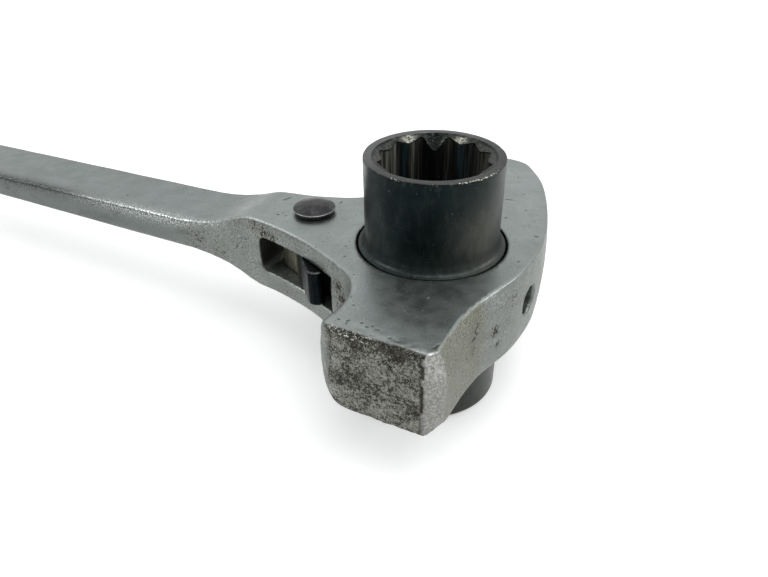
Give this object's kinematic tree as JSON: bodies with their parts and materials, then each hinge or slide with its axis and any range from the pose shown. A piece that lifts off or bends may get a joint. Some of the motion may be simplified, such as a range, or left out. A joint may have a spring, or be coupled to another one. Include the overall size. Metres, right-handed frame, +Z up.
{
  "type": "ratchet wrench",
  "caption": "Ratchet wrench with a 12-point socket above and a larger one below, side-lever reversing pawl, square hammer poll, rounded tail lobe and a flat handle ending in a tapered spike.",
  "frame": {"origin": "middle of the bounding box at the lower socket's end plane; the socket axis stands at x = 131.8 mm, y = -8.7 mm", "axes": "+Z up along the socket axis, +X from the spike's tip to the rounded front of the head, hammer poll on the -Y side, tail lobe on the +Y side"},
  "size_m": [0.3064, 0.0864, 0.0534],
  "materials": {
    "satin_plate": "forged steel under dull satin nickel-chrome plate, orange-peel grain on the sides, worn bright edges, pitted striking face",
    "black_oxide": "turned steel, bluish black oxide, rubbed lighter at the rims",
    "dark_steel": "hardened steel, dark oil-blackened, slightly worn",
    "pin_steel": "riveted pin head, dark violet-grey with a rubbed rim",
    "spring_steel": "plain spring steel, lightly oiled"
  },
  "bodies": {
    "body": {"wrench_body": "satin_plate", "pawl_pin": "pin_steel", "thrust_washer": "spring_steel", "retaining_ring": "spring_steel", "detent_spring": "spring_steel"},
    "socket": {"ratchet_socket": "black_oxide"},
    "pawl": {"reversing_pawl": "dark_steel"},
    "plunger": {"detent_plunger": "dark_steel"}
  },
  "joints": [
    {"name": "socket_spin", "type": "hinge", "parent": "body", "child": "socket", "pos_m": [0.13179, -0.00874, 0.0267], "axis": [0, 0, 1], "continuous": true},
    {"name": "pawl_rock", "type": "hinge", "parent": "body", "child": "pawl", "pos_m": [0.10379, -0.00874, 0.02705], "axis": [0, 0, 1], "range_deg": [-20, 0]},
    {"name": "plunger_slide", "type": "slide", "parent": "body", "child": "plunger", "axis": [1, 0, 0], "range_m": [-0.0012, 0], "stiffness_N_per_m": 800, "springref_m": 0.003, "deforming": ["detent_spring"]}
  ]
}
